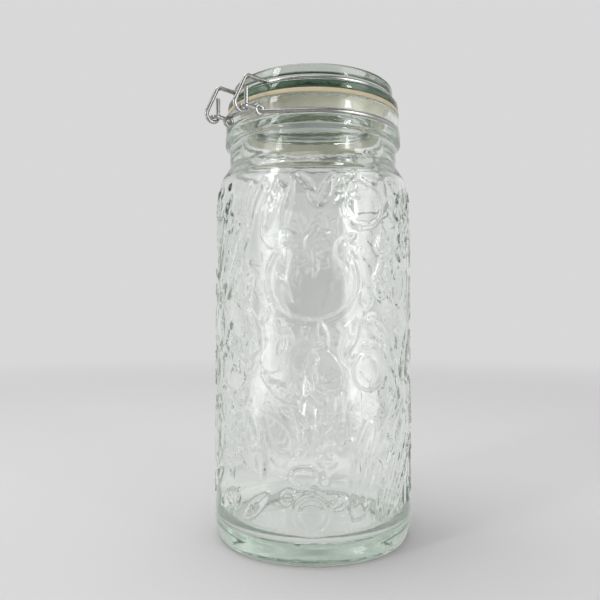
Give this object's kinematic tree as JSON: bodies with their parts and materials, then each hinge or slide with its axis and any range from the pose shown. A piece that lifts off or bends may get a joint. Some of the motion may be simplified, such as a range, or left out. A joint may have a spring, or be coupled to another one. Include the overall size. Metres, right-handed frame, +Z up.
{
  "type": "clip-top storage jar",
  "caption": "Tall clear glass storage jar with fruit and vegetable relief, glass lid, rubber seal and a sprung steel wire hinge and clasp. Shown empty.",
  "frame": {"origin": "centre of the jar's foot, on the jar's axis and on the surface it stands on", "axes": "+Z up along the jar's axis, +Y towards the lid's hinge, -Y towards the clasp, +X to the right seen from the clasp side"},
  "size_m": [0.118, 0.1353, 0.2652],
  "materials": {
    "glass": "clear pressed glass with a slight green tint",
    "wire": "drawn steel wire",
    "seal": "matt cream rubber"
  },
  "bodies": {
    "jar": {"jar_glass": "glass", "neck_wire": "wire"},
    "lid": {"lid_glass": "glass", "lid_wire": "wire", "seal": "seal"},
    "lever": {"lever": "wire"},
    "stirrup": {"stirrup": "wire"}
  },
  "joints": [
    {"name": "lid_hinge", "type": "hinge", "parent": "jar", "child": "lid", "pos_m": [0, 0.0663, 0.2393], "axis": [-1, 0, 0], "range_deg": [0, 190]},
    {"name": "lever_pivot", "type": "hinge", "parent": "jar", "child": "lever", "pos_m": [0, -0.0586, 0.2383], "axis": [-1, 0, 0], "range_deg": [0, 95]},
    {"name": "stirrup_pivot", "type": "hinge", "parent": "lever", "child": "stirrup", "pos_m": [0, -0.056, 0.2311], "axis": [-1, 0, 0], "range_deg": [0, 80]}
  ]
}
